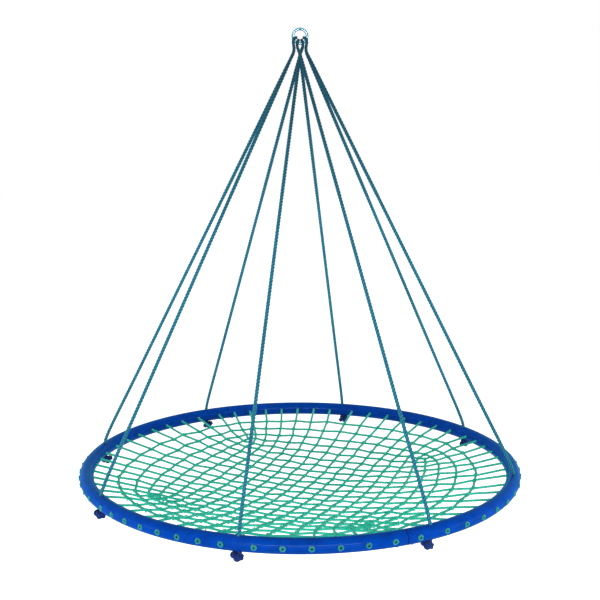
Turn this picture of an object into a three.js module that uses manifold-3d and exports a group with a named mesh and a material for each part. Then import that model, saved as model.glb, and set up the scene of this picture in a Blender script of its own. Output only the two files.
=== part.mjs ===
// Saucer nest swing: a two-piece tube ring with a laced cord net, hung by four folded ropes
// from one steel ring. Millimetres, +Z up. The origin is the inside top of the steel ring,
// where a hook or shackle bears, and the ring frame hangs level below it.
import * as THREE from "three";
import { mergeVertices } from "three/addons/utils/BufferGeometryUtils.js";
import Module from "manifold-3d";

const wasm = await Module();
wasm.setup();

// ---- driving dimensions ----
const CLEARANCE = 0.3; // between pieces that touch
const SEGMENT_LENGTH = 61; // of the frame's straight facets, along the tube

const EYE_OD = 44; // steel hanging ring
const EYE_WIRE_D = 7;

const FRAME_OD = 1200; // seat frame, over the tube
const TUBE_D = 38;
const TUBE_WALL = 2;
const FRAME_DROP = 1155.5; // steel ring's centre down to the frame's mid-plane
const FRAME_SIDES = 8;
const SEAM_GAP = 0.4;
const SEAM_BEFORE_ROPE_DEG = 6.875; // the seam lies this far before a rope

const ROPE_D = 8;
const ROPE_HOLE_D = 10.5;
const ROPE_SIDES = 8;
const FIRST_ROPE_DEG = -103.72; // azimuth of the first rope, counted from +X
const ROPE_COUNT = 8;
const ROPE_BEND_ABOVE_TUBE = 9; // where a rope leaves the tube's axis plane and leans inwards
const CROSSING_DROP = 24; // below the steel ring, where the inner ropes cross
const OUTER_SPREAD_DROP = 16; // below the steel ring, where the outer ropes start to lean
const OUTER_LEAN_IN = 2.4; // how far the outer ropes draw in before they lean out
const STRAND_GAP = 1; // between neighbouring ropes where they leave the steel ring
const CROSSING_GAP = 4.2; // between two ropes that cross

const KNOT_D = 31; // stopper knots below the tube
const KNOT_H = 20;

const SLEEVE_LENGTH = 110; // joint sleeves inside the tube
const SLEEVE_WALL = 2.5;
const SLEEVE_SLIDE_GAP = 0.6;
const SCREW_FROM_SEAM = 20; // joint screws, along the tube
const SCREW_SHANK_D = 4;
const SCREW_HEAD_D = 8;
const SCREW_HEAD_H = 2.6;
const SCREW_LENGTH = 9;

const CORD_D = 4.6; // net cord
const CORD_HOLE_D = 6.4; // inner wall of the tube
const CORD_SEAT_D = 14; // outer wall, where the cord's end knot sits
const CORD_KNOT_D = 12.8;
const CORD_KNOT_H = 8;
const CORD_KNOT_PROUD = 2;
const HOLES_PER_SECTOR = [7, 7, 8, 7, 8, 7, 8, 8]; // net holes from each rope to the next
const HOLE_FROM_ROPE_DEG = 3.75;
const NET_SAG = 74; // middle of the net below the frame's mid-plane
const NET_THICKNESS = 5;
const NET_RIM_GAP = 44; // open band between the tube and the net's outer row
const NET_RINGS = 4;
const NET_SEGMENTS = 30;

const PIVOT_CLEAR_GAP = 1.2; // the folds end this far below the rope that wraps the steel ring
const LEG_START_GAP = 3.6; // and the legs begin this much further out, so they swing clear

// ---- derived sizes ----
const EYE_R = (EYE_OD - EYE_WIRE_D) / 2;
const EYE_Z = -(EYE_OD / 2 - EYE_WIRE_D);
const EYE_BOTTOM_Z = EYE_Z - EYE_OD / 2;
const PIVOT_Z = EYE_Z - EYE_R;
const FRAME_R = (FRAME_OD - TUBE_D) / 2;
const FRAME_Z = EYE_Z - FRAME_DROP;
const TUBE_R = TUBE_D / 2;
const SECTOR_DEG = 360 / ROPE_COUNT;
const SEAM_DEG = [0, 180].map((turn) => FIRST_ROPE_DEG + SECTOR_DEG - SEAM_BEFORE_ROPE_DEG + turn);
const FOLD_R = (EYE_WIRE_D + ROPE_D) / 2 + CLEARANCE; // rope's middle round the wire
const PIVOT_CLEAR_R = FOLD_R + ROPE_D / 2 + PIVOT_CLEAR_GAP;
const FOLD_PITCH = 2 * Math.asin((ROPE_D + 1.2 * CLEARANCE) / (2 * (EYE_R - FOLD_R)));

const SEGMENT_DEG = THREE.MathUtils.radToDeg(SEGMENT_LENGTH / FRAME_R);

const rad = THREE.MathUtils.degToRad;
const vec = (x, y, z) => new THREE.Vector3(x, y, z);
const around = (deg, r, z) => vec(r * Math.cos(rad(deg)), r * Math.sin(rad(deg)), z);

const finish = {
  steel: { color: 0xc9cdd2, roughness: 0.22, metalness: 1 },
  paint: { color: 0x0b45b5, roughness: 0.28, metalness: 0.1 },
  rope: { color: 0x0b5f7c, roughness: 0.8, metalness: 0 },
  knot: { color: 0x0b2a6b, roughness: 0.8, metalness: 0 },
  net: { color: 0x4fd3b0, roughness: 0.75, metalness: 0 },
  sleeve: { color: 0x8f9499, roughness: 0.45, metalness: 0.9 },
  screw: { color: 0xb9bdc2, roughness: 0.3, metalness: 1 },
};

// ---- solids ----
function solid(geometry) {
  const bare = geometry.clone();
  bare.deleteAttribute("normal");
  bare.deleteAttribute("uv");
  const merged = mergeVertices(bare, 1e-3);
  const mesh = new wasm.Mesh({
    numProp: 3,
    vertProperties: merged.attributes.position.array,
    triVerts: new Uint32Array(merged.index.array),
  });
  return new wasm.Manifold(mesh);
}

function geometryOf(manifold) {
  const mesh = manifold.getMesh();
  const geometry = new THREE.BufferGeometry();
  geometry.setAttribute("position", new THREE.BufferAttribute(mesh.vertProperties, mesh.numProp));
  geometry.setIndex(new THREE.BufferAttribute(mesh.triVerts, 1));
  geometry.computeVertexNormals();
  return geometry;
}

const union = (solids) => solids.reduce((all, one) => all.add(one));

const swing = new THREE.Group();

function addPiece(name, shape, look) {
  const geometry = shape.isBufferGeometry ? shape : geometryOf(shape);
  const mesh = new THREE.Mesh(geometry, new THREE.MeshStandardMaterial({ ...finish[look] }));
  mesh.name = name;
  swing.add(mesh);
}

// A regular outline whose corners lie on the circle.
function roundOutline(radius, sides) {
  const corners = [];
  for (let i = 0; i < sides; i++) {
    const turn = ((i + 0.5) / sides) * 2 * Math.PI;
    corners.push(new THREE.Vector2(radius * Math.cos(turn), radius * Math.sin(turn)));
  }
  return corners;
}

// A path whose steps fall exactly on the given points.
class PointPath extends THREE.Curve {
  constructor(points) {
    super();
    this.points = points;
  }
  getPoint(t, target = new THREE.Vector3()) {
    const place = THREE.MathUtils.clamp(t, 0, 1) * (this.points.length - 1);
    const i = Math.min(Math.floor(place), this.points.length - 2);
    return target.lerpVectors(this.points[i], this.points[i + 1], place - i);
  }
  getUtoTmapping(u) {
    return u;
  }
}

// A stretch of the frame's own circle.
class FrameArc extends THREE.Curve {
  constructor(fromDeg, toDeg) {
    super();
    this.fromDeg = fromDeg;
    this.toDeg = toDeg;
  }
  getPoint(t) {
    return around(THREE.MathUtils.lerp(this.fromDeg, this.toDeg, t), FRAME_R, FRAME_Z);
  }
  getUtoTmapping(u) {
    return u;
  }
}

function sweep(outline, path, steps) {
  return new THREE.ExtrudeGeometry(outline, { steps, bevelEnabled: false, extrudePath: path });
}

function tubeAlong(points, radius, sides) {
  const outline = new THREE.Shape(roundOutline(radius, sides));
  return sweep(outline, new PointPath(points), points.length - 1);
}

function rod(from, to, radius, sides) {
  return solid(tubeAlong([from, to], radius, sides));
}

// ---- steel hanging ring ----
function hangingRing() {
  const ring = new THREE.TorusGeometry(EYE_R, EYE_WIRE_D / 2, 10, 30);
  ring.rotateX(Math.PI / 2);
  ring.translate(0, 0, EYE_Z);
  return ring;
}

// ---- ropes ----
// Each rope is folded once over the steel ring and ends at two knots below the frame.
// The two inner ropes cross just below the ring, at the front and again at the back.
const ropeDeg = (i) => FIRST_ROPE_DEG + SECTOR_DEG * i;
const ropes = [
  { name: "left", fold: -1.5, front: ropeDeg(7), back: ropeDeg(6), over: 0 },
  { name: "mid_left", fold: -0.5, front: ropeDeg(1), back: ropeDeg(4), over: 1 },
  { name: "mid_right", fold: 0.5, front: ropeDeg(0), back: ropeDeg(5), over: -1 },
  { name: "right", fold: 1.5, front: ropeDeg(2), back: ropeDeg(3), over: 0 },
];

function foldCentre(rope) {
  const angle = rope.fold * FOLD_PITCH;
  return vec(EYE_R * Math.sin(angle), 0, EYE_Z - EYE_R * Math.cos(angle));
}

// Where a leg leaves the steel wire. side is -1 at the front and 1 at the back.
function exitPoint(rope, side) {
  const fold = foldCentre(rope);
  let x = fold.x * 1.02;
  if (!rope.over) {
    const inner = Math.abs(foldCentre({ fold: 0.5 }).x) + ROPE_D + STRAND_GAP;
    x = Math.sign(x) * Math.max(Math.abs(x), inner);
  }
  return vec(x, side * (FOLD_R + 0.6), fold.z - 8);
}

// Where a leg stops leaning and turns straight down into its hole.
function bendPoint(rope, side) {
  const deg = side < 0 ? rope.front : rope.back;
  return around(deg, FRAME_R, FRAME_Z + TUBE_R + ROPE_BEND_ABOVE_TUBE);
}

// How far each of the two crossing legs moves out of the other's way.
function crossingOffset(side) {
  const [a, b] = ropes
    .filter((rope) => rope.over)
    .map((rope) => bendPoint(rope, side).sub(exitPoint(rope, side)));
  const apart = a.cross(b).normalize();
  return (ROPE_D + CROSSING_GAP) / 2 / Math.abs(apart.y);
}

// Control points of one leg, from its knot up to the steel ring.
function legPoints(rope, side) {
  const deg = side < 0 ? rope.front : rope.back;
  const over = side < 0 ? rope.over : -rope.over;
  const exit = exitPoint(rope, side);
  const bend = bendPoint(rope, side);
  const drop = rope.over ? CROSSING_DROP : OUTER_SPREAD_DROP;
  const share = (drop + FOLD_R) / (EYE_BOTTOM_Z - FRAME_Z);
  const spread = vec(
    rope.over ? 0 : exit.x - Math.sign(exit.x) * OUTER_LEAN_IN,
    side * FOLD_R + share * (bend.y - side * FOLD_R) + side * over * crossingOffset(side),
    EYE_BOTTOM_Z - drop,
  );
  const along = (t) => bend.clone().lerp(spread, t);
  return [
    around(deg, FRAME_R, FRAME_Z - TUBE_R - CLEARANCE),
    around(deg, FRAME_R, FRAME_Z + TUBE_R - ROPE_D / 2),
    around(deg, FRAME_R - 1, FRAME_Z + TUBE_R + 5),
    along(0.02),
    along(0.2),
    along(0.8),
    along(0.985),
    spread,
    exit,
  ];
}

// Points round the steel wire, from the front over the inside to the back.
function foldPoints(rope) {
  const centre = foldCentre(rope);
  const outward = vec(centre.x, 0, centre.z - EYE_Z).normalize();
  const points = [];
  for (const deg of [-78, -52, -26, 0, 26, 52, 78]) {
    const point = centre.clone();
    point.addScaledVector(outward, -FOLD_R * Math.cos(rad(deg)));
    point.y += FOLD_R * Math.sin(rad(deg));
    points.push(point);
  }
  return points;
}

function smooth(controls, stepsPerSpan) {
  const curve = new THREE.CatmullRomCurve3(controls, false, "centripetal");
  const spans = controls.length - 1;
  const points = [controls[0].clone()];
  for (let i = 0; i < spans; i++) {
    const steps = stepsPerSpan(i);
    for (let j = 1; j <= steps; j++) points.push(curve.getPoint((i + j / steps) / spans));
  }
  return points;
}

// The space of the folds: all above the pivot line, and a round bar about it.
function foldSpace(margin) {
  const reach = 60;
  const bar = new THREE.CylinderGeometry(PIVOT_CLEAR_R + margin, PIVOT_CLEAR_R + margin, 2 * reach, 24);
  bar.rotateZ(Math.PI / 2);
  bar.translate(0, 0, PIVOT_Z);
  const above = new THREE.BoxGeometry(2 * reach, 2 * reach, reach);
  above.translate(0, 0, PIVOT_Z + reach / 2);
  return solid(bar).add(solid(above));
}

function ropeFold(rope) {
  const controls = [
    ...legPoints(rope, -1).slice(-3),
    ...foldPoints(rope),
    ...legPoints(rope, 1).slice(-3).reverse(),
  ];
  const whole = solid(tubeAlong(smooth(controls, () => 2), ROPE_D / 2, ROPE_SIDES));
  return whole.intersect(foldSpace(0));
}

function ropeLeg(rope, side) {
  const turn = foldPoints(rope);
  if (side > 0) turn.reverse();
  const controls = [...legPoints(rope, side), ...turn.slice(0, 2)];
  const inHole = 0;
  const straight = 4;
  const points = smooth(controls, (span) => (span === straight || span === inHole ? 1 : 2));
  const whole = solid(tubeAlong(points, ROPE_D / 2, ROPE_SIDES));
  const cut = whole.subtract(foldSpace(LEG_START_GAP));
  return cut.decompose().sort((a, b) => b.volume() - a.volume())[0];
}

function stopperKnot(deg) {
  const top = FRAME_Z - TUBE_R - 2 * CLEARANCE;
  const profile = [
    [0, 0],
    [0.42, 0],
    [0.8, -0.12],
    [1, -0.42],
    [0.94, -0.68],
    [0.6, -0.93],
    [0, -1],
  ].map(([r, z]) => new THREE.Vector2((r * KNOT_D) / 2, z * KNOT_H));
  const knot = new THREE.LatheGeometry(profile.reverse(), 12);
  knot.rotateX(Math.PI / 2);
  const place = around(deg, FRAME_R, top);
  knot.translate(place.x, place.y, place.z);
  return knot;
}

// ---- seat frame ----
// Every hole through the tube, as one solid that the frame halves and the sleeves are cut with.
function netHoleDegs() {
  const degs = [];
  HOLES_PER_SECTOR.forEach((count, sector) => {
    const first = ropeDeg(sector) + HOLE_FROM_ROPE_DEG;
    const pitch = (SECTOR_DEG - 2 * HOLE_FROM_ROPE_DEG) / (count - 1);
    for (let i = 0; i < count; i++) degs.push(first + i * pitch);
  });
  return degs;
}

function screwDegs() {
  const offset = THREE.MathUtils.radToDeg(SCREW_FROM_SEAM / FRAME_R);
  return SEAM_DEG.flatMap((seam) => [seam - offset, seam + offset]);
}

function drills() {
  const through = TUBE_R + 3;
  const cuts = [];
  for (let i = 0; i < ROPE_COUNT; i++) {
    const top = around(ropeDeg(i), FRAME_R, FRAME_Z + through);
    const bottom = around(ropeDeg(i), FRAME_R, FRAME_Z - through);
    cuts.push(rod(bottom, top, ROPE_HOLE_D / 2, 8));
  }
  for (const deg of netHoleDegs()) {
    const inner = around(deg, FRAME_R - through, FRAME_Z);
    const middle = around(deg, FRAME_R, FRAME_Z);
    const outer = around(deg, FRAME_R + through, FRAME_Z);
    cuts.push(rod(inner, middle, CORD_HOLE_D / 2, 6));
    cuts.push(rod(middle, outer, CORD_SEAT_D / 2, 6));
  }
  for (const deg of screwDegs()) {
    const low = around(deg, FRAME_R, FRAME_Z - through);
    cuts.push(rod(low, around(deg, FRAME_R, FRAME_Z - TUBE_R / 2), SCREW_SHANK_D / 2 + CLEARANCE, 8));
  }
  return cuts;
}

function arcTube(fromDeg, toDeg, radius, bore) {
  const steps = 2 * Math.ceil((toDeg - fromDeg) / 2 / SEGMENT_DEG - 0.01);
  const corner = 1 / Math.cos(Math.PI / FRAME_SIDES); // the flats lie on the true radius
  const outline = new THREE.Shape(roundOutline(radius * corner, FRAME_SIDES));
  outline.holes.push(new THREE.Path(roundOutline(bore * corner, FRAME_SIDES)));
  return solid(sweep(outline, new FrameArc(fromDeg, toDeg), steps));
}

function frameHalf(side, cuts) {
  const trim = THREE.MathUtils.radToDeg(SEAM_GAP / 2 / FRAME_R);
  const from = SEAM_DEG[side] + trim;
  return arcTube(from, from + 180 - 2 * trim, TUBE_R, TUBE_R - TUBE_WALL).subtract(cuts);
}

function jointSleeve(side, cuts) {
  const half = THREE.MathUtils.radToDeg(SLEEVE_LENGTH / 2 / FRAME_R);
  const outer = TUBE_R - TUBE_WALL - SLEEVE_SLIDE_GAP;
  const sleeve = arcTube(SEAM_DEG[side] - half, SEAM_DEG[side] + half, outer, outer - SLEEVE_WALL);
  return sleeve.subtract(cuts);
}

function jointScrew(deg) {
  const under = -TUBE_R - CLEARANCE;
  const shank = SCREW_SHANK_D / 2;
  const head = SCREW_HEAD_D / 2;
  const profile = [
    [0, under - SCREW_HEAD_H],
    [head * 0.7, under - SCREW_HEAD_H],
    [head, under - SCREW_HEAD_H * 0.35],
    [head, under],
    [shank, under],
    [shank, under + SCREW_LENGTH - shank],
    [0, under + SCREW_LENGTH],
  ].map(([r, z]) => new THREE.Vector2(r, z));
  const screw = new THREE.LatheGeometry(profile, 10);
  screw.rotateX(Math.PI / 2);
  const place = around(deg, FRAME_R, FRAME_Z);
  screw.translate(place.x, place.y, place.z);
  return screw;
}

// ---- net ----
// The net as one closed dish of the laced area's outer shape, with the sixty cords that run
// from its edge through the tube and the knots that hold them there.
function net() {
  const rim = FRAME_R - TUBE_R - NET_RIM_GAP;
  const depth = (r) => -NET_SAG * (1 - (r / rim) ** 2);
  const upper = [];
  const lower = [];
  for (let i = 0; i <= NET_RINGS; i++) {
    const r = (rim * i) / NET_RINGS;
    upper.push(new THREE.Vector2(r, depth(r) + NET_THICKNESS / 2));
    lower.push(new THREE.Vector2(r, depth(r) - NET_THICKNESS / 2));
  }
  const holes = netHoleDegs();
  const dish = new THREE.LatheGeometry([...lower, ...upper.reverse()], NET_SEGMENTS);
  dish.rotateX(Math.PI / 2);
  dish.translate(0, 0, FRAME_Z);
  const outside = FRAME_R + TUBE_R + CORD_KNOT_PROUD;
  const cords = holes.map((deg) => {
    const inner = around(deg, rim - 4, FRAME_Z);
    const seat = around(deg, outside - CORD_KNOT_H, FRAME_Z);
    const cord = rod(inner, around(deg, outside - 1, FRAME_Z), CORD_D / 2, 4);
    return cord.add(rod(seat, around(deg, outside, FRAME_Z), CORD_KNOT_D / 2, 6));
  });
  return union([solid(dish), ...cords]);
}

// ---- assembly ----
addPiece("hanging_ring", hangingRing(), "steel");
for (const rope of ropes) {
  addPiece(`rope_fold_${rope.name}`, ropeFold(rope), "rope");
  for (const [place, side] of [["front", -1], ["back", 1]]) {
    addPiece(`rope_leg_${rope.name}_${place}`, ropeLeg(rope, side), "rope");
    addPiece(`stopper_knot_${rope.name}_${place}`, stopperKnot(rope[place]), "knot");
  }
}
const holes = union(drills());
["front", "back"].forEach((place, side) => {
  addPiece(`joint_sleeve_${place}`, jointSleeve(side, holes), "sleeve");
});
["right", "left"].forEach((place, side) => {
  addPiece(`frame_half_${place}`, frameHalf(side, holes), "paint");
});
screwDegs().forEach((deg, i) => addPiece(`joint_screw_${i + 1}`, jointScrew(deg), "screw"));
addPiece("net", net(), "net");

export default swing;
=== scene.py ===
"""Saucer nest swing: the finished surfaces, fibres and paint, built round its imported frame.

Metres, +Z up. The origin is the inside top of the steel ring that the swing hangs from.
"""

import math

import bpy
import numpy as np
from bpy.props import FloatProperty, FloatVectorProperty, IntProperty, PointerProperty
from mathutils import Matrix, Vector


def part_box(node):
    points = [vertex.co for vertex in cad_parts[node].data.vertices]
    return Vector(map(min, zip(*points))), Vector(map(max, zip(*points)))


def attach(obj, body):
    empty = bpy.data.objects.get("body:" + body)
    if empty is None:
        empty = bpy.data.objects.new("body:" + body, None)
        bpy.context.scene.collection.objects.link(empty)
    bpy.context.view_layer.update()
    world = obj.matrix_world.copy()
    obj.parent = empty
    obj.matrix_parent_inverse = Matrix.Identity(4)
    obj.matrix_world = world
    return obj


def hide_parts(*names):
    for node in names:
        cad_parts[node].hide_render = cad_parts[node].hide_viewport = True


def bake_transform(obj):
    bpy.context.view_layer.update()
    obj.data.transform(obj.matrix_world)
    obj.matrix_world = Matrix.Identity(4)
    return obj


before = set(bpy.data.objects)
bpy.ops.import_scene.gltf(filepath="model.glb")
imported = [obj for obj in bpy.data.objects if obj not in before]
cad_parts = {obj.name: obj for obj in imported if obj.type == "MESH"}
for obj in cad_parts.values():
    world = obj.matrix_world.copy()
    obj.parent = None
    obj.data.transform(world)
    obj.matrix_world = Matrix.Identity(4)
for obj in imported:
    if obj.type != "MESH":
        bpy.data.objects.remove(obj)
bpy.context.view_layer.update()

bl_info = {
    "name": "Saucer Nest Swing",
    "version": (1, 0, 0),
    "blender": (4, 5, 0),
    "location": "View3D > Sidebar > Nest Swing",
    "description": "Builds the visible surfaces of a rope-hung saucer nest swing",
    "category": "Add Mesh",
}

MM = 0.001


# ---- sizes taken from the frame ----
def node_points(name):
    """Every corner of a node's mesh, as an (n, 3) array."""
    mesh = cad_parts[name].data
    points = np.empty(len(mesh.vertices) * 3)
    mesh.vertices.foreach_get("co", points)
    return points.reshape(-1, 3)


def node_box(name):
    low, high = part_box(name)
    return np.array(low), np.array(high)


EYE_LOW, EYE_HIGH = node_box("hanging_ring")
EYE_WIRE_D = 7 * MM
EYE_R = (EYE_HIGH[2] - EYE_LOW[2] - EYE_WIRE_D) / 2
EYE_Z = (EYE_HIGH[2] + EYE_LOW[2]) / 2
EYE_BOTTOM_Z = EYE_LOW[2]
TUBE_LOW, TUBE_HIGH = node_box("frame_half_right")
TUBE_D = TUBE_HIGH[2] - TUBE_LOW[2]
TUBE_R = TUBE_D / 2
FRAME_Z = (TUBE_HIGH[2] + TUBE_LOW[2]) / 2
FRAME_R = np.hypot(*node_points("frame_half_right")[:, :2].T).max() - TUBE_R

# ---- layout shared by the pieces ----
TUBE_WALL = 2 * MM
FIRST_ROPE_DEG = -103.72
SECTOR_DEG = 45.0
SEAM_BEFORE_ROPE_DEG = 6.875
SEAM_DEG = [FIRST_ROPE_DEG + SECTOR_DEG - SEAM_BEFORE_ROPE_DEG + turn for turn in (0, 180)]
SEAM_GAP = 0.4 * MM
HOLES_PER_SECTOR = [7, 7, 8, 7, 8, 7, 8, 8]
HOLE_FROM_ROPE_DEG = 3.75
ROPE_HOLE_D = 10.5 * MM
CORD_HOLE_D = 6.4 * MM
CORD_SEAT_D = 14 * MM
SCREW_FROM_SEAM = 20 * MM

ROPE_D = 8 * MM
FOLD_R = (EYE_WIRE_D + ROPE_D) / 2 + 0.3 * MM
FOLD_PITCH = 2 * math.asin((ROPE_D + 0.36 * MM) / (2 * (EYE_R - FOLD_R)))
ROPE_BEND_ABOVE_TUBE = 9 * MM
CROSSING_DROP = 24 * MM
OUTER_SPREAD_DROP = 16 * MM
OUTER_LEAN_IN = 2.4 * MM
STRAND_GAP = 1 * MM
CROSSING_GAP = 4.2 * MM
NET_SAG = 74 * MM

# ---- fibres ----
ROPE_YARNS = 30.0
CORD_YARNS = 21.0
ROPE_FIBRE_DEPTH = 0.12 * MM
CORD_FIBRE_DEPTH = 0.09 * MM
FOLD_FULL = 1.03  # drawn thickness over nominal where the rope is pressed on the steel ring
LEG_FULL = 1.25  # and on its free legs, where loose fibres stand out
LOOSE_BELOW = 60 * MM  # length under the ring over which a leg swells to that
KNOT_FULL = 1.65
CORD_FULL = 1.55
ROPE_FADED = (0.02, 0.25, 0.35)
# The knot colours are a darker navy than the rope's: painted shade of the tube above the knots.
KNOT_FADED = (0.01, 0.05, 0.22)
CORD_FADED = (0.08, 0.74, 0.52)
SHADE_AND_SOIL_FROM_Z = -0.5  # rope above this gets darker: painted shade where the ropes close in under the ring, with dirt from weather and handling
SHADE_AND_SOIL_OVER = 0.4


def rope_deg(index):
    return FIRST_ROPE_DEG + SECTOR_DEG * index


ROPES = [
    # name, place on the steel ring in pitches, front hole, back hole, which crosses over
    ("left", -1.5, rope_deg(7), rope_deg(6), 0),
    ("mid_left", -0.5, rope_deg(1), rope_deg(4), 1),
    ("mid_right", 0.5, rope_deg(0), rope_deg(5), -1),
    ("right", 1.5, rope_deg(2), rope_deg(3), 0),
]


def net_hole_degs():
    degs = []
    for sector, count in enumerate(HOLES_PER_SECTOR):
        first = rope_deg(sector) + HOLE_FROM_ROPE_DEG
        degs.append(np.linspace(first, first + SECTOR_DEG - 2 * HOLE_FROM_ROPE_DEG, count))
    return np.concatenate(degs)


def around(deg, radius, z):
    """The point at that azimuth and distance from the swing's axis."""
    turn = np.radians(deg)
    return np.stack(np.broadcast_arrays(radius * np.cos(turn), radius * np.sin(turn), z), -1)


def unit(vectors):
    return vectors / np.linalg.norm(vectors, axis=-1, keepdims=True)


# ---- settings ----
def length_property(name, description, default, **limits):
    return FloatProperty(
        name=name, description=description, default=default, unit="LENGTH", precision=4, **limits
    )


def colour_property(name, description, default):
    return FloatVectorProperty(
        name=name, description=description, default=default, subtype="COLOR", min=0, max=1, size=3
    )


class NestSwingFrameSettings(bpy.types.PropertyGroup):
    rim_round: length_property(
        "Hole rim", "How far the edges of the drilled holes are rounded", 0.5 * MM, min=0
    )
    paint: colour_property("Paint", "Glossy paint of the tube", (0.0, 0.052, 0.41))
    steel: colour_property("Steel", "Steel of the hanging ring", (0.82, 0.9, 0.9))
    zinc: colour_property("Zinc", "Plating of the screws and joint sleeves", (0.6, 0.62, 0.64))


class NestSwingRopeSettings(bpy.types.PropertyGroup):
    diameter: length_property("Diameter", "Thickness of the hanging ropes", ROPE_D, min=0.004)
    lay: length_property("Lay", "Length of one full twist of the rope", 26 * MM, min=0.01)
    light: colour_property(
        "Light strand", "Colour on the crowns of the strands", (0.012, 0.225, 0.33)
    )
    # The dark groove colour is painted shade between the strands.
    dark: colour_property("Dark groove", "Colour between the strands", (0.003, 0.08, 0.13))
    # The knot colour is a darker navy than the rope's own: painted shade of the tube the knots
    # hang under.
    knot: colour_property("Knot", "Colour of the stopper knots", (0.002, 0.022, 0.2))


class NestSwingNetSettings(bpy.types.PropertyGroup):
    diameter: length_property("Diameter", "Thickness of the net cord", 4.6 * MM, min=0.002)
    lay: length_property("Lay", "Length of one full twist of the cord", 15 * MM, min=0.005)
    sag: length_property("Sag", "Depth of the middle of the net below the tube", NET_SAG, min=0)
    block: IntProperty(
        name="Middle meshes", description="Meshes along each side of the square middle",
        default=15, min=3, max=30,
    )
    light: colour_property("Light cord", "Colour on the crowns of the cord", (0.03, 0.78, 0.52))
    # The dark groove colour is painted shade between the cord's strands.
    dark: colour_property("Dark groove", "Colour between the cord's strands", (0.0, 0.44, 0.3))


class NestSwingStageSettings(bpy.types.PropertyGroup):
    floor_drop: length_property("Floor", "Floor below the seat frame", 0.78, min=0.2)
    light: FloatProperty(name="Light", description="Strength of the studio light", default=1.0)


# ---- surfaces ----
NO_TRIANGLES = np.empty((0, 3), int)
NO_UV = np.empty((0, 2))


def wrapped_quads(rows, columns, wrap_rows, wrap_columns):
    """Index quads of a rows x columns grid, numbered row by row and facing out of a sweep."""
    r = np.arange(rows if wrap_rows else rows - 1)
    c = np.arange(columns if wrap_columns else columns - 1)
    r, c = np.meshgrid(r, c, indexing="ij")
    r2, c2 = (r + 1) % rows, (c + 1) % columns
    corners = [r * columns + c, r * columns + c2, r2 * columns + c2, r2 * columns + c]
    return np.stack(corners, -1).reshape(-1, 4)


def end_fans(rows, sides):
    """Triangles that close the two ends of a sweep, each round a pole: the first end's pole is
    numbered after all the rows, and the last end's follows it."""
    ring = np.arange(sides)
    ahead = (ring + 1) % sides
    pole = rows * sides
    last = pole - sides
    return np.vstack([
        np.stack([np.full(sides, pole), ahead, ring], -1),
        np.stack([np.full(sides, pole + 1), last + ring, last + ahead], -1),
    ])


def mesh_piece(name, points, quads, triangles=NO_TRIANGLES, uv=None, wear=None):
    """A mesh object from (n, 3) points, quads and triangles. uv is one pair for each corner of
    each face; wear is one number for each point."""
    mesh = bpy.data.meshes.new(name)
    loops = np.concatenate([quads.ravel(), triangles.ravel()]).astype(np.int32)
    starts = np.concatenate([
        np.arange(len(quads)) * 4,
        len(quads) * 4 + np.arange(len(triangles)) * 3,
    ]).astype(np.int32)
    mesh.vertices.add(len(points))
    mesh.vertices.foreach_set("co", np.asarray(points, np.float32).ravel())
    mesh.loops.add(len(loops))
    mesh.loops.foreach_set("vertex_index", loops)
    mesh.polygons.add(len(starts))
    mesh.polygons.foreach_set("loop_start", starts)
    mesh.update(calc_edges=True)
    if uv is not None:
        layer = mesh.uv_layers.new(name="lay")
        layer.data.foreach_set("uv", np.asarray(uv, np.float32).ravel())
    if wear is not None:
        layer = mesh.attributes.new("wear", "FLOAT", "POINT")
        layer.data.foreach_set("value", np.asarray(wear, np.float32))
    mesh.shade_smooth()
    piece = bpy.data.objects.new(name, mesh)
    bpy.context.scene.collection.objects.link(piece)
    return piece


def smooth_line(controls, step):
    """A centripetal Catmull-Rom curve: between two controls it is the cubic that meets both with
    the slope of the circle-like curve through their neighbours. Sampled every step of length."""
    controls = np.asarray(controls, float)
    gaps = np.sqrt(np.linalg.norm(np.diff(controls, axis=0), axis=1))
    knots = np.concatenate([[0], np.cumsum(gaps)])
    slopes = np.diff(controls, axis=0) / gaps[:, None]
    wide = (controls[2:] - controls[:-2]) / (gaps[1:] + gaps[:-1])[:, None]
    tangents = np.vstack([slopes[:1], slopes[1:] - wide + slopes[:-1], slopes[-1:]])
    at = np.linspace(0, knots[-1], 40 * len(controls))
    span = np.clip(np.searchsorted(knots, at, "right") - 1, 0, len(gaps) - 1)
    t = ((at - knots[span]) / gaps[span])[:, None]
    width = gaps[span][:, None]
    line = (
        (2 * t**3 - 3 * t**2 + 1) * controls[span]
        + (t**3 - 2 * t**2 + t) * width * tangents[span]
        + (3 * t**2 - 2 * t**3) * controls[span + 1]
        + (t**3 - t**2) * width * tangents[span + 1]
    )
    return even_line(line, step)


def even_line(line, step, closed=False):
    """The same line with its points an equal length apart, as near to step as fits."""
    line = np.vstack([line, line[:1]]) if closed else line
    length = np.concatenate([[0], np.cumsum(np.linalg.norm(np.diff(line, axis=0), axis=1))])
    count = max(3, round(length[-1] / step))
    at = np.linspace(0, length[-1], count + 1)
    even = np.stack([np.interp(at, length, line[:, axis]) for axis in range(3)], -1)
    return even[:-1] if closed else even


def rounded(line, reach, closed=False):
    """Each point moved to the mean of its neighbours within reach points: corners get round."""
    padded = np.pad(line, ((reach, reach), (0, 0)), "wrap" if closed else "edge")
    sums = np.cumsum(np.vstack([np.zeros((1, 3)), padded]), axis=0)
    mean = (sums[2 * reach + 1:] - sums[:-2 * reach - 1]) / (2 * reach + 1)
    if not closed:
        ramp = np.minimum(np.arange(len(line)), np.arange(len(line))[::-1])
        share = np.clip(ramp / reach, 0, 1)[:, None]
        mean = line * (1 - share) + mean * share
    return mean


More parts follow.
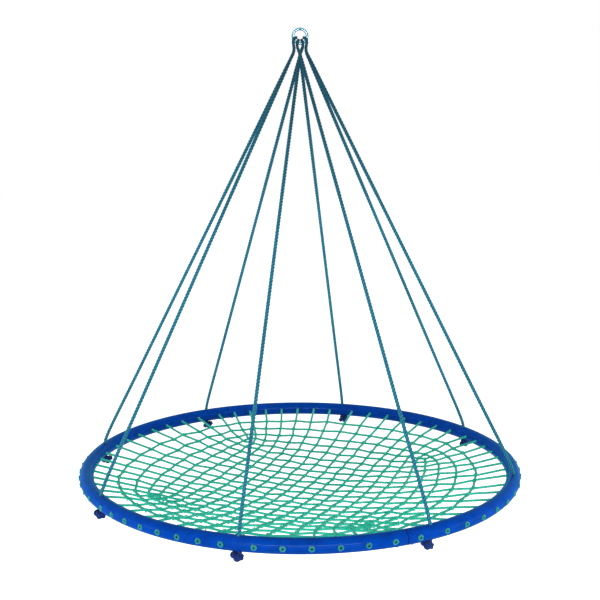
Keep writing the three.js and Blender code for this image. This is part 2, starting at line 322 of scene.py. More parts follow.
def line_frames(line, closed=False):
    """Two normals of a line that don't twist. Any normals will do to start with; the turn that
    each step adds against the smallest rotation is summed and taken off again."""
    if closed:
        tangents = unit(np.roll(line, -1, 0) - np.roll(line, 1, 0))
    else:
        tangents = unit(np.gradient(line, axis=0))
    axis = np.eye(3)[np.argmin(np.abs(tangents), axis=1)]
    first = unit(np.cross(tangents, axis))
    second = np.cross(tangents, first)
    t0, t1 = tangents, np.roll(tangents, -1, 0)
    bend = (first * t1).sum(1) / (1 + (t0 * t1).sum(1))
    carried = first - bend[:, None] * (t0 + t1)
    ahead_1, ahead_2 = np.roll(first, -1, 0), np.roll(second, -1, 0)
    turn = np.arctan2((carried * ahead_2).sum(1), (carried * ahead_1).sum(1))
    angle = np.concatenate([[0], np.cumsum(turn[:-1])])
    if closed:
        total = turn.sum()
        slack = (total + math.pi) % (2 * math.pi) - math.pi
        angle -= slack * np.arange(len(line)) / len(line)
    cos, sin = np.cos(angle)[:, None], np.sin(angle)[:, None]
    return first * cos + second * sin, second * cos - first * sin


def laid_outline(sides, depth):
    """Distance from the middle to the outline of three round strands laid together, in units
    of the cord's radius, at equal angles: far side of a strand's circle seen from the middle."""
    angle = np.arange(sides) / sides * 2 * math.pi
    off = (angle + math.pi / 3) % (2 * math.pi / 3) - math.pi / 3
    middle = 0.42
    strand = 1 - middle
    lobe = middle * np.cos(off) + np.sqrt(strand**2 - (middle * np.sin(off)) ** 2)
    return 1 - (1 - lobe) * depth


def sweep_uv(sides, length):
    """u and v at the corners of a sweep's quads: u runs on to 1 in the last column, and v is
    the length at each row, with one more row than there are rows of quads."""
    row, column = np.meshgrid(np.arange(len(length) - 1), np.arange(sides), indexing="ij")
    u = np.stack([column, column + 1, column + 1, column], -1) / sides
    v = np.stack([length[row], length[row], length[row + 1], length[row + 1]], -1)
    return np.stack([u, v], -1).reshape(-1, 2)


def laid_cord(line, diameter, lay, sides, depth=1.0, closed=False, start=0.0, taper=0):
    """Points, faces and uv of a three-strand cord: at each point of the line the strands'
    outline, turned by one full turn for each lay of length. u runs round, v is the length. A
    closed cord's lay is changed to give whole turns, and its v is scaled with it."""
    normal, side = line_frames(line, closed)
    length = np.linalg.norm(np.roll(line, -1, 0) - line, axis=1)
    length = np.concatenate([[0], np.cumsum(length if closed else length[:-1])])
    wanted = lay
    if closed:
        lay = length[-1] / max(1, round(length[-1] / lay))
    turn = (2 * math.pi * length[:len(line)] / lay + start)[:, None]
    angle = np.arange(sides)[None, :] / sides * 2 * math.pi + turn
    radius = laid_outline(sides, depth)[None, :] * np.reshape(diameter, (-1, 1)) / 2
    radius = np.broadcast_to(radius, angle.shape)
    if taper:
        near_end = np.minimum(np.arange(len(line)), np.arange(len(line))[::-1]) / taper
        dome = 1 - (1 - np.clip(near_end, 0, 1)) ** 2
        radius = radius * np.sqrt(np.clip(dome, 0.12, 1))[:, None]
    points = (
        line[:, None]
        + (radius * np.cos(angle))[..., None] * normal[:, None]
        + (radius * np.sin(angle))[..., None] * side[:, None]
    ).reshape(-1, 3)
    quads = wrapped_quads(len(line), sides, closed, True)
    uv = sweep_uv(sides, length * wanted / lay)
    if closed:
        return points, quads, NO_TRIANGLES, uv, NO_UV
    points = np.vstack([points, line[:1], line[-1:]])
    ring = np.arange(sides)
    low_u = np.stack([ring + 0.5, ring + 1, ring], -1) / sides
    high_u = np.stack([ring + 0.5, ring, ring + 1], -1) / sides
    cap_u = np.concatenate([low_u.ravel(), high_u.ravel()])
    cap_v = np.repeat([0.0, length[-1]], 3 * sides)
    return points, quads, end_fans(len(line), sides), uv, np.stack([cap_u, cap_v], -1)


def gather(parts):
    """Several cords as one set of points, quads, triangles and uv, with faces renumbered."""
    offsets = np.cumsum([0] + [len(part[0]) for part in parts[:-1]])
    return (
        np.vstack([part[0] for part in parts]),
        np.vstack([part[1] + offset for part, offset in zip(parts, offsets)]),
        np.vstack([part[2] + offset for part, offset in zip(parts, offsets)]),
        np.vstack([part[3] for part in parts] + [part[4] for part in parts]),
    )


def cord_piece(name, parts, material):
    piece = mesh_piece(name, *gather(parts))
    piece.data.materials.append(material)
    return piece


# ---- shader nodes ----
class Nodes:
    """A node tree with short ways to add and join nodes."""

    def __init__(self, tree):
        self.tree = tree

    def add(self, kind, **values):
        node = self.tree.nodes.new(kind)
        for key, value in values.items():
            if hasattr(node, key):
                setattr(node, key, value)
            else:
                self.feed(node.inputs[key.replace("_", " ")], value)
        return node

    def feed(self, socket, value):
        if isinstance(value, bpy.types.NodeSocket):
            self.tree.links.new(value, socket)
        else:
            socket.default_value = value

    def math(self, operation, *values, clamp=False):
        node = self.add("ShaderNodeMath", operation=operation, use_clamp=clamp)
        for socket, value in zip(node.inputs, values):
            self.feed(socket, value)
        return node.outputs[0]

    def noise(self, vector, scale, detail=3.0, roughness=0.5):
        node = self.add("ShaderNodeTexNoise", Scale=scale, Detail=detail, Roughness=roughness)
        self.feed(node.inputs["Vector"], vector)
        return node.outputs["Fac"]

    def between(self, value, low, high, to_low=0.0, to_high=1.0):
        node = self.add("ShaderNodeMapRange", clamp=True)
        sockets = ("Value", "From Min", "From Max", "To Min", "To Max")
        for name, item in zip(sockets, (value, low, high, to_low, to_high)):
            self.feed(node.inputs[name], item)
        return node.outputs[0]

    def mix(self, share, first, second):
        node = self.add("ShaderNodeMix", data_type="RGBA")
        self.feed(node.inputs[0], share)
        self.feed(node.inputs[6], first)
        self.feed(node.inputs[7], second)
        return node.outputs[2]

    def object_place(self):
        return self.add("ShaderNodeTexCoord").outputs["Object"]

    def bump(self, height, distance, strength=1.0, normal=None):
        node = self.add("ShaderNodeBump", Distance=distance, Strength=strength)
        self.feed(node.inputs["Height"], height)
        if normal is not None:
            self.feed(node.inputs["Normal"], normal)
        return node.outputs[0]


def new_group(name, inputs, outputs):
    tree = bpy.data.node_groups.new(name, "ShaderNodeTree")
    for label, default in inputs.items():
        socket = tree.interface.new_socket(label, in_out="INPUT", socket_type="NodeSocketFloat")
        socket.default_value = default
    for label in outputs:
        tree.interface.new_socket(label, in_out="OUTPUT", socket_type="NodeSocketFloat")
    nodes = Nodes(tree)
    return nodes, nodes.add("NodeGroupInput").outputs, nodes.add("NodeGroupOutput").inputs


def laid_fibre_group():
    """Yarns of a laid cord. The groove mask is 1 deep between two strands and gives the painted
    shade in the grooves;
    the tone is highest on the strands' crowns, so the crowns are painted lighter than the grooves.
    Yarns run straight along the cord while the strands wind round it, so their stripes follow u +
    v / lay."""
    nodes, given, made = new_group(
        "laid_fibre",
        {"Yarns": 27.0, "Lay": 0.026, "Soil": 0.3, "Fuzz": 1.0},
        ("Tone", "Groove_shade", "Height", "Fade"),
    )
    uv = nodes.add("ShaderNodeUVMap", uv_map="lay").outputs[0]
    split = nodes.add("ShaderNodeSeparateXYZ", Vector=uv)
    u, v = split.outputs[0], split.outputs[1]
    strand = nodes.math("ABSOLUTE", nodes.math("COSINE", nodes.math("MULTIPLY", u, 3 * math.pi)))
    # Painted shade: the groove mask darkens the colour in the creases between the strands.
    groove = nodes.between(strand, 0.05, 0.75, 1.0, 0.0)
    winding = nodes.math("ADD", u, nodes.math("DIVIDE", v, given["Lay"]))
    turns = nodes.math("MULTIPLY", winding, given["Yarns"])
    wobble = nodes.noise(nodes.object_place(), 420.0, 2.0)
    shifted = nodes.math("ADD", turns, wobble)
    stripe = nodes.math("SINE", nodes.math("MULTIPLY", shifted, 2 * math.pi))
    yarn = nodes.between(stripe, -1.0, 1.0)
    fibre = nodes.noise(nodes.object_place(), 2600.0, 2.0, 0.6)
    patches = nodes.noise(nodes.object_place(), 14.0, 3.0)
    soiled = nodes.math("MULTIPLY", nodes.between(patches, 0.42, 0.72), given["Soil"])
    # Painted shade falling off from the crowns: the tone is highest on the crowns and 0 in the
    # grooves.
    crown = nodes.math("SUBTRACT", 1.0, groove)
    lit = nodes.math("MULTIPLY", crown, nodes.between(yarn, 0.0, 1.0, 0.62, 1.0))
    nodes.feed(made["Tone"], nodes.math("MULTIPLY", lit, nodes.math("SUBTRACT", 1.0, soiled)))
    nodes.feed(made["Groove_shade"], groove)
    fuzz = nodes.math("MULTIPLY", fibre, given["Fuzz"])
    height = nodes.math("ADD", nodes.math("MULTIPLY", yarn, 0.7), fuzz)
    nodes.feed(made["Height"], height)
    nodes.feed(made["Fade"], nodes.between(nodes.noise(nodes.object_place(), 5.0, 4.0), 0.35, 0.7))
    return nodes.tree


def surface_wear_group():
    """Fine scratches, dust and slow unevenness that hard pieces share."""
    nodes, given, made = new_group(
        "surface_wear",
        {"Scratch scale": 260.0, "Dust scale": 9.0, "Peel scale": 900.0},
        ("Scratches", "Dust", "Peel", "Patches"),
    )
    place = nodes.object_place()
    stretched = nodes.add("ShaderNodeMapping", vector_type="POINT")
    nodes.feed(stretched.inputs["Vector"], place)
    stretched.inputs["Rotation"].default_value = (0.5, 0.3, 0.9)
    stretched.inputs["Scale"].default_value = (1.0, 9.0, 3.0)
    lines = nodes.noise(stretched.outputs[0], given["Scratch scale"], 2.0, 0.7)
    nodes.feed(made["Scratches"], nodes.between(lines, 0.66, 0.76))
    specks = nodes.noise(place, 1400.0, 1.0)
    drift = nodes.noise(place, given["Dust scale"], 5.0, 0.6)
    drifts = nodes.between(drift, 0.45, 0.75)
    dusty = nodes.math("MULTIPLY", drifts, nodes.between(specks, 0.4, 0.62))
    nodes.feed(made["Dust"], dusty)
    nodes.feed(made["Peel"], nodes.noise(place, given["Peel scale"], 1.0))
    nodes.feed(made["Patches"], nodes.noise(place, 30.0, 4.0, 0.55))
    return nodes.tree


def shared_group(name, build):
    return bpy.data.node_groups.get(name) or build()


def new_material(name):
    """A material with only its Principled shader, as its nodes and that shader."""
    material = bpy.data.materials.new(name)
    material.use_nodes = True
    nodes = Nodes(material.node_tree)
    shader = material.node_tree.nodes["Principled BSDF"]
    return material, nodes, shader


def place_group(nodes, name, build, **values):
    node = nodes.add("ShaderNodeGroup", node_tree=shared_group(name, build))
    for key, value in values.items():
        nodes.feed(node.inputs[key.replace("_", " ")], value)
    return node.outputs


def opaque(colour):
    return (*colour, 1.0)


def fibre_material(name, light, dark, lay, yarns, soil, faded, distance):
    """Twisted synthetic fibre: light crowns and dark grooves, which are painted shade, yarn
    stripes and faded stretches,
    darker high up: painted shade where the ropes close in under the ring, with dirt from handling
    and rain."""
    known = bpy.data.materials.get(name)
    if known:
        return known
    material, nodes, shader = new_material(name)
    made = place_group(nodes, "laid_fibre", laid_fibre_group, Yarns=yarns, Lay=lay, Soil=soil)
    # Painted shade: the colour runs from the dark groove colour in the creases to the light strand
    # colour on the crowns, and the groove mask darkens the creases once more.
    base = nodes.mix(made["Tone"], opaque(dark), opaque(light))
    paled = nodes.mix(nodes.math("MULTIPLY", made["Fade"], 0.5), base, opaque(faded))
    shaded = nodes.mix(nodes.math("MULTIPLY", made["Groove_shade"], 0.75), paled, opaque(dark))
    height = nodes.add("ShaderNodeSeparateXYZ", Vector=nodes.object_place()).outputs[2]
    # Painted shade with dirt: higher up the colour darkens, for the shade where the ropes close in
    # under the ring and for dirt from handling.
    shade_and_soil = nodes.between(height, SHADE_AND_SOIL_FROM_Z, SHADE_AND_SOIL_FROM_Z + SHADE_AND_SOIL_OVER, 0.0, 0.85)
    shaded = nodes.mix(shade_and_soil, shaded, opaque(tuple(part * 0.7 for part in dark)))
    nodes.feed(shader.inputs["Base Color"], shaded)
    nodes.feed(shader.inputs["Roughness"], nodes.between(made["Height"], 0.0, 1.7, 0.82, 0.6))
    nodes.feed(shader.inputs["Normal"], nodes.bump(made["Height"], distance))
    shader.inputs["Sheen Weight"].default_value = 0.25
    shader.inputs["Sheen Roughness"].default_value = 0.4
    shader.inputs["Specular IOR Level"].default_value = 0.35
    return material


DUST = (0.45, 0.5, 0.55)
SCUFFED_PAINT = (0.01, 0.16, 0.7)
SEAM_DARKENING = (0.0, 0.006, 0.03)
BARE_TUBE = (0.3, 0.31, 0.33)
SEAM_MARK = -1.0  # the value of the wear attribute along the seams, where the paint is darkened


def paint_material(colour):
    """Glossy sprayed paint with orange peel, dust and fine scratches, chips at the worn edges
    and a darkened line along the seams."""
    material, nodes, shader = new_material("sprayed_frame_paint")
    made = place_group(nodes, "surface_wear", surface_wear_group)
    worn = nodes.add("ShaderNodeAttribute", attribute_name="wear").outputs["Fac"]
    chip_noise = nodes.noise(nodes.object_place(), 700.0, 3.0, 0.65)
    chips = nodes.between(nodes.math("ADD", worn, chip_noise), 1.22, 1.3)
    deep = tuple(part * 0.72 for part in colour)
    tinted = nodes.mix(nodes.between(made["Patches"], 0.35, 0.65), opaque(colour), opaque(deep))
    dust = nodes.math("MULTIPLY", made["Dust"], 0.006)
    dusted = nodes.mix(dust, tinted, opaque(DUST))
    scratches = nodes.math("MULTIPLY", made["Scratches"], 0.12)
    scuffed = nodes.mix(scratches, dusted, opaque(SCUFFED_PAINT))
    # The paint is darkened in a line along each seam.
    in_seams = nodes.between(worn, 0.0, SEAM_MARK, 0.0, 0.9)
    darkened = nodes.mix(in_seams, scuffed, opaque(SEAM_DARKENING))
    bared = nodes.mix(chips, darkened, opaque(BARE_TUBE))
    nodes.feed(shader.inputs["Base Color"], bared)
    nodes.feed(shader.inputs["Metallic"], nodes.math("MULTIPLY", chips, 0.8))
    smooth = nodes.between(made["Patches"], 0.3, 0.7, 0.12, 0.19)
    rough = nodes.math("ADD", smooth, nodes.math("MULTIPLY", made["Dust"], 0.25))
    rougher = nodes.math("MULTIPLY", chips, 0.3)
    nodes.feed(shader.inputs["Roughness"], nodes.math("ADD", rough, rougher))
    peel = nodes.bump(made["Peel"], 0.00006)
    unchipped = nodes.math("SUBTRACT", 1.0, chips)
    nodes.feed(shader.inputs["Normal"], nodes.bump(unchipped, 0.0001, 1.0, peel))
    coat = nodes.math("SUBTRACT", 0.08, nodes.math("MULTIPLY", chips, 0.08))
    nodes.feed(shader.inputs["Coat Weight"], coat)
    shader.inputs["Coat Roughness"].default_value = 0.08
    shader.inputs["Specular IOR Level"].default_value = 0.2
    shader.inputs["Specular Tint"].default_value = (0.35, 0.7, 1.0, 1.0)
    return material


def metal_material(name, colour, smooth, rough, scratch_scale):
    """Bare or plated steel: brushed patches, fine scratches and a little grime."""
    known = bpy.data.materials.get(name)
    if known:
        return known
    material, nodes, shader = new_material(name)
    made = place_group(nodes, "surface_wear", surface_wear_group, Scratch_scale=scratch_scale)
    darkened = tuple(part * 0.55 for part in colour)
    patched = nodes.mix(nodes.between(made["Patches"], 0.4, 0.75), opaque(colour), opaque(darkened))
    dust = nodes.math("MULTIPLY", made["Dust"], 0.2)
    dusted = nodes.mix(dust, patched, opaque((0.3, 0.29, 0.27)))
    nodes.feed(shader.inputs["Base Color"], dusted)
    shader.inputs["Metallic"].default_value = 1.0
    uneven = nodes.between(made["Patches"], 0.3, 0.7, smooth, rough)
    scored = nodes.math("MULTIPLY", made["Scratches"], 0.12)
    nodes.feed(shader.inputs["Roughness"], nodes.math("ADD", uneven, scored))
    nodes.feed(shader.inputs["Normal"], nodes.bump(made["Scratches"], 0.00004, 0.6))
    return material


def plain_material(name, colour, rough, glow=0.0):
    """A pale studio surface with a faint mottle."""
    material, nodes, shader = new_material(name)
    mottle = nodes.noise(nodes.object_place(), 3.0, 3.0)
    darker = tuple(part * 0.97 for part in colour)
    nodes.feed(shader.inputs["Base Color"], nodes.mix(mottle, opaque(colour), opaque(darker)))
    shader.inputs["Roughness"].default_value = rough
    shader.inputs["Specular IOR Level"].default_value = 0.0
    shader.inputs["Emission Color"].default_value = opaque((1.0, 1.0, 1.0))
    shader.inputs["Emission Strength"].default_value = glow
    return material


# ---- steel hanging ring ----
def ring_surface(sides, turns):
    """A torus: a small circle of the wire's radius carried round the ring's circle, a little
    thicker and uneven at the weld on top, and worn flat inside at the bottom under the ropes."""
    along = np.arange(turns)[:, None] / turns * 2 * math.pi
    across = np.arange(sides)[None, :] / sides * 2 * math.pi
    from_top = np.abs((along - math.pi / 2 + math.pi) % (2 * math.pi) - math.pi)
    bead = np.exp(-((from_top / 0.13) ** 2)) * (1 + 0.3 * np.sin(across * 5 + along * 40))
    from_bottom = np.abs((along + math.pi / 2 + math.pi) % (2 * math.pi) - math.pi)
    inward = np.clip(-np.cos(across), 0, 1) ** 2
    flat = 0.25 * MM * np.exp(-((from_bottom / 0.8) ** 4)) * inward
    wire = EYE_WIRE_D / 2 + 0.35 * MM * bead - flat
    reach = EYE_R + wire * np.cos(across)
    points = np.stack([
        reach * np.cos(along),
        wire * np.sin(across) + 0 * along,
        EYE_Z + reach * np.sin(along),
    ], -1)
    return points.reshape(-1, 3), wrapped_quads(turns, sides, True, True)


def build_hanging_ring(settings):
    piece = mesh_piece("steel_ring", *ring_surface(28, 128))
    steel = metal_material("worn_ring_steel", settings.steel, 0.1, 0.24, 420.0)
    piece.data.materials.append(steel)
    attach(piece, "ring")
    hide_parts("hanging_ring")


# ---- seat frame ----
PATCH = 11 * MM  # half the side of the square of grid that is drawn round each hole
PATCH_CELLS = 10
HOLE_CELLS = 6
PLAIN_CELL = 12 * MM


def station_grid(half):
    """Where the grid lines lie along one half of the frame, as azimuths, which holes it has,
    and half a patch as an angle. Each hole has PATCH_CELLS cells across it, and the plain
    stretches between have cells of about PLAIN_CELL; both ends have a rounded edge."""
    start = math.radians(SEAM_DEG[half]) + SEAM_GAP / 2 / FRAME_R
    end = start + math.pi - SEAM_GAP / FRAME_R
    net = [(math.radians(deg), "net") for deg in net_hole_degs()]
    rope = [(math.radians(rope_deg(i)), "rope") for i in range(8)]
    inside = []
    for azimuth, kind in net + rope:
        turned = start + (azimuth - start) % (2 * math.pi)
        if turned < end:
            inside.append((turned, kind))
    inside.sort()
    reach = PATCH / (FRAME_R + TUBE_R)
    rim = 0.9 * MM / FRAME_R
    lines = [start, start + 0.35 * rim, start + rim]
    at = start + rim
    for azimuth, kind in inside + [(end - rim + reach, "last")]:
        gap = azimuth - reach - at
        steps = max(1, round(gap * FRAME_R / PLAIN_CELL))
        lines.extend(at + gap * np.arange(1, steps + 1) / steps)
        if kind != "last":
            lines.extend(azimuth + reach * np.linspace(-1, 1, PATCH_CELLS + 1)[1:])
            at = azimuth + reach
    lines.extend([end - 0.35 * rim, end])
    return np.array(lines), inside, reach


def round_grid():
    """Where the grid lines lie round the tube: a patch of PATCH_CELLS at the outside, top,
    inside and bottom, with one plain cell between two patches."""
    reach = PATCH / TUBE_R
    quarter = np.linspace(-reach, reach, PATCH_CELLS + 1)
    return np.concatenate([quarter + turn * math.pi / 2 for turn in range(4)])


def drawn_to_hole(azimuth, angle, centre, turn, radius, reach, tube_radius):
    """Grid points of one patch, moved so that its middle square becomes the hole's circle. A
    point keeps its direction from the hole's middle; its distance goes from the circle's to
    the square's own as it nears the edge of the patch. The third array is 1 on the hole's rim
    and falls to 0 away from it."""
    a = (azimuth - centre) / reach
    b = (angle - turn) / (PATCH / TUBE_R)
    size = np.maximum(np.abs(a), np.abs(b))
    direction = np.arctan2(b, a)
    inner = HOLE_CELLS / PATCH_CELLS
    share = np.clip((size - inner) / (1 - inner), 0, 1)
    share = share * share * (3 - 2 * share)
    local = FRAME_R + tube_radius * math.cos(turn)
    grown = radius * (1 + 0.35 * np.clip(size - inner, 0, 1) / (1 - inner))
    round_azimuth = centre + grown * np.cos(direction) / local
    round_angle = turn + grown * np.sin(direction) / tube_radius
    keep = size > inner - 1e-6
    return (
        np.where(keep, round_azimuth * (1 - share) + azimuth * share, azimuth),
        np.where(keep, round_angle * (1 - share) + angle * share, angle),
        np.clip(1 - (size - inner) / 0.22, 0, 1) * keep,
    )


HOLES_AT = {
    "net": ((0.0, CORD_SEAT_D / 2), (math.pi, CORD_HOLE_D / 2)),
    "rope": ((math.pi / 2, ROPE_HOLE_D / 2), (3 * math.pi / 2, ROPE_HOLE_D / 2)),
}


def frame_half_surface(half, rim_round):
    """A bent tube with a wall: the tube's circle carried round the frame's circle, at the outer
    and at the inner radius. The cells inside each hole are left out and its two rims joined,
    as are the two radii at each end."""
    lines, inside, reach = station_grid(half)
    rows, turns = len(lines), round_grid()
    columns = len(turns)
    cut = np.zeros((rows - 1, columns), bool)
    walls, wear = [], np.zeros((rows, columns))
    ends = np.minimum(np.arange(rows), np.arange(rows)[::-1])
    for tube_radius, dip in ((TUBE_R, 1.0), (TUBE_R - TUBE_WALL, 0.0)):
        azimuth = np.repeat(lines[:, None], columns, 1)
        angle = np.repeat(turns[None, :], rows, 0)
        radius = np.full((rows, columns), tube_radius)
        for centre, kind in inside:
            near = np.flatnonzero(np.abs(lines - centre) < reach * 1.001)
            band = slice(near[0], near[-1] + 1)
            for turn, hole in HOLES_AT[kind]:
                first = round(turn / (math.pi / 2)) * (PATCH_CELLS + 1)
                side = slice(first, first + PATCH_CELLS + 1)
                moved = drawn_to_hole(
                    azimuth[band, side], angle[band, side], centre, turn, hole, reach, tube_radius
                )
                azimuth[band, side], angle[band, side], rim = moved
                edge = (PATCH_CELLS - HOLE_CELLS) // 2
                on_rim = rim > 0.999
                radius[band, side] -= dip * rim_round * on_rim
                wear[band, side] = np.maximum(wear[band, side], rim)
                cells = slice(first + edge, first + PATCH_CELLS - edge)
                cut[near[0] + edge: near[-1] - edge, cells] = True
        radius -= dip * np.select([ends == 0, ends == 1], [0.7 * MM, 0.2 * MM], 0.0)[:, None]
        # The two rows at each end carry the seam mark, which darkens the paint along the seam.
        wear = np.where(ends[:, None] < 2, SEAM_MARK, wear)
        out = FRAME_R + radius * np.cos(angle)
        walls.append(np.stack([
            out * np.cos(azimuth), out * np.sin(azimuth), FRAME_Z + radius * np.sin(angle)
        ], -1).reshape(-1, 3))
    number = np.arange(rows * columns).reshape(rows, columns)
    quads = wrapped_quads(rows, columns, False, True)
    kept = quads[~cut.ravel()]
    inner = kept[:, ::-1] + rows * columns
    ahead = np.roll(number, -1, 1)
    faces = [kept, inner]
    faces.append(joined(number[0], ahead[0], rows * columns))
    faces.append(joined(ahead[-1], number[-1], rows * columns))
    before = np.vstack([np.zeros((1, columns), bool), cut])
    after = np.vstack([cut, np.zeros((1, columns), bool)])
    opens, closes = after & ~before, before & ~after
    faces.append(joined(ahead[opens], number[opens], rows * columns))
    faces.append(joined(number[closes], ahead[closes], rows * columns))
    left = np.roll(cut, 1, 1)
    begins, stops = cut & ~left, left & ~cut
    faces.append(joined(number[:-1][begins], number[1:][begins], rows * columns))
    faces.append(joined(number[1:][stops], number[:-1][stops], rows * columns))
    faces = np.vstack(faces)[:, ::-1]
    return np.vstack(walls), faces, np.concatenate([wear.ravel(), wear.ravel() * 0])


def joined(first, second, offset):
    """Quads between an edge of the outer wall and the same edge of the inner wall."""
    return np.stack([second, first, first + offset, second + offset], -1)


def without_loose(points, faces, wear):
    """The same faces, with only the points that they use."""
    used, numbered = np.unique(faces, return_inverse=True)
    return points[used], numbered.reshape(faces.shape), wear[used]


def build_frame_half(settings, half, side):
    points, faces, wear = without_loose(*frame_half_surface(half, settings.rim_round))
    piece = mesh_piece("tube_half_" + side, points, faces, wear=wear)
    piece.data.set_sharp_from_angle(angle=math.radians(40))
    paint = bpy.data.materials.get("sprayed_frame_paint") or paint_material(settings.paint)
    piece.data.materials.append(paint)
    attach(piece, "basket")
    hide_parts("frame_half_" + side)


def screw_surface():
    """A button head over a shank: a profile turned round its axis. Inside the socket the
    profile's circle is pressed towards a hexagon."""
    head, shank, long = 4 * MM, 2 * MM, 6.4 * MM
    profile = np.array([
        (0.0, -1.0 * MM), (1.1 * MM, -1.0 * MM), (1.3 * MM, -1.0 * MM), (1.35 * MM, -2.45 * MM),
        (1.5 * MM, -2.6 * MM), (2.2 * MM, -2.5 * MM),
        (3.1 * MM, -2.0 * MM), (3.75 * MM, -1.2 * MM),
        (head, -0.5 * MM), (head, -0.15 * MM), (head - 0.15 * MM, 0.0), (shank, 0.0),
        (shank, long - 1 * MM), (shank * 0.5, long),
    ])
    sides = 36
    angle = np.arange(sides) / sides * 2 * math.pi
    hexagon = math.cos(math.pi / 6) / np.cos((angle + math.pi / 6) % (math.pi / 3) - math.pi / 6)
    socket = (np.arange(len(profile)) < 5)[:, None]
    reach = profile[:, :1] * np.where(socket, hexagon[None, :] * 1.08, 1.0)
    points = np.stack([
        reach * np.cos(angle), reach * np.sin(angle), np.broadcast_to(profile[:, 1:], reach.shape)
    ], -1)[1:]
    rows = len(points)
    poles = [[0, 0, profile[0, 1]], [0, 0, long]]
    points = np.vstack([points.reshape(-1, 3), poles])
    return points, wrapped_quads(rows, sides, False, True), end_fans(rows, sides)


def build_screw(settings, index, deg):
    points, quads, triangles = screw_surface()
    place = around(deg, FRAME_R, FRAME_Z - TUBE_R - 0.05 * MM)
    piece = mesh_piece(f"button_screw_{index}", points + place, quads, triangles)
    piece.data.set_sharp_from_angle(angle=math.radians(38))
    zinc = metal_material("plated_screw_steel", settings.zinc, 0.18, 0.35, 700.0)
    piece.data.materials.append(zinc)
    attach(piece, "basket")
    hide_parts(f"joint_screw_{index}")


def screw_degs():
    """One screw on each side of each seam."""
    offset = math.degrees(SCREW_FROM_SEAM / FRAME_R)
    return [seam + side * offset for seam in SEAM_DEG for side in (-1, 1)]


# ---- ropes ----
ROPE_STEP = 2 * MM  # length between two outlines of a rope
EASED_FROM = 6 * MM  # a rope's tight bends are eased from here to EASED_TO under the ring
EASED_TO = 0.1
EASED_REACH = 5


def fold_centre(fold):
    """The middle of a rope's fold, that many pitches along the bottom of the steel ring."""
    angle = fold * FOLD_PITCH
    return np.array([EYE_R * math.sin(angle), 0, EYE_Z - EYE_R * math.cos(angle)])


def exit_point(fold, over, side):
    """Where a leg comes off the steel ring, straight below the front or the back of its fold.
    The outer ropes keep clear of the inner ones."""
    centre = fold_centre(fold)
    x = centre[0] * 1.02
    if not over:
        inner = abs(fold_centre(0.5)[0]) + ROPE_D + STRAND_GAP
        x = math.copysign(max(abs(x), inner), x)
    return np.array([x, side * (FOLD_R + 0.6 * MM), centre[2] - 8 * MM])


def bend_point(deg):
    """Just above the tube, where a leg that comes up through its hole leans inwards."""
    return around(deg, FRAME_R, FRAME_Z + TUBE_R + ROPE_BEND_ABOVE_TUBE)


def crossing_offset(side):
    """How far each of the two crossing legs moves out of the other's way."""
    lean = [
        bend_point(front if side < 0 else back) - exit_point(fold, over, side)
        for _, fold, front, back, over in ROPES if over
    ]
    apart = unit(np.cross(*lean))
    return (ROPE_D + CROSSING_GAP) / 2 / abs(apart[1])


def leg_controls(rope, side):
    """Control points of one leg, from inside its knot up to the steel ring."""
    _, fold, front, back, over = rope
    deg = front if side < 0 else back
    leaving, bend = exit_point(fold, over, side), bend_point(deg)
    drop = CROSSING_DROP if over else OUTER_SPREAD_DROP
    share = (drop + FOLD_R) / (EYE_BOTTOM_Z - FRAME_Z)
    aside = (over if side < 0 else -over) * crossing_offset(side)
    spread = np.array([
        0 if over else leaving[0] - math.copysign(OUTER_LEAN_IN, leaving[0]),
        side * FOLD_R + share * (bend[1] - side * FOLD_R) + side * aside,
        EYE_BOTTOM_Z - drop,
    ])
    low = [
        around(deg, FRAME_R, FRAME_Z - TUBE_R - 5 * MM),
        around(deg, FRAME_R, FRAME_Z + TUBE_R - ROPE_D / 2),
        around(deg, FRAME_R - 1 * MM, FRAME_Z + TUBE_R + 5 * MM),
    ]
    lean = [bend + (spread - bend) * t for t in (0.02, 0.2, 0.8, 0.985)]
    return low + lean + [spread, leaving]


def fold_controls(fold):
    """Points round the steel wire, from the front over the inside to the back."""
    centre = fold_centre(fold)
    outward = unit(centre - [0, 0, EYE_Z])
    turn = np.radians([-78, -52, -26, 0, 26, 52, 78])[:, None]
    return centre - outward * FOLD_R * np.cos(turn) + np.array([0, 1, 0]) * FOLD_R * np.sin(turn)


def build_rope(settings, rope):
    """One rope from knot to knot: the curve through its front leg, its fold and its back leg,
    with the laid outline carried along it, which swells below the ring."""
    name, fold = rope[:2]
    controls = np.vstack([
        leg_controls(rope, -1), fold_controls(fold), leg_controls(rope, 1)[::-1]
    ])
    line = smooth_line(controls, ROPE_STEP)
    under_ring = EYE_BOTTOM_Z - line[:, 2:]
    eased = np.clip((under_ring - EASED_FROM) / EASED_FROM, 0, 1) * (under_ring < EASED_TO)
    line = line * (1 - eased) + rounded(line, EASED_REACH) * eased
    below = np.clip((EYE_BOTTOM_Z - line[:, 2]) / LOOSE_BELOW, 0, 1)
    thick = settings.diameter * (FOLD_FULL + (LEG_FULL - FOLD_FULL) * below)
    part = laid_cord(line, thick, settings.lay, 24, depth=0.95, start=fold)
    material = fibre_material(
        "laid_rope_fibre", settings.light, settings.dark, settings.lay, ROPE_YARNS, 0.35,
        ROPE_FADED, ROPE_FIBRE_DEPTH,
    )
    piece = cord_piece("hanging_rope_" + name, [part], material)
    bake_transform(piece)
    legs = [f"rope_leg_{name}_{place}" for place in ("front", "back")]
    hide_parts("rope_fold_" + name, *legs)


KNOT_SCALE = 1.22


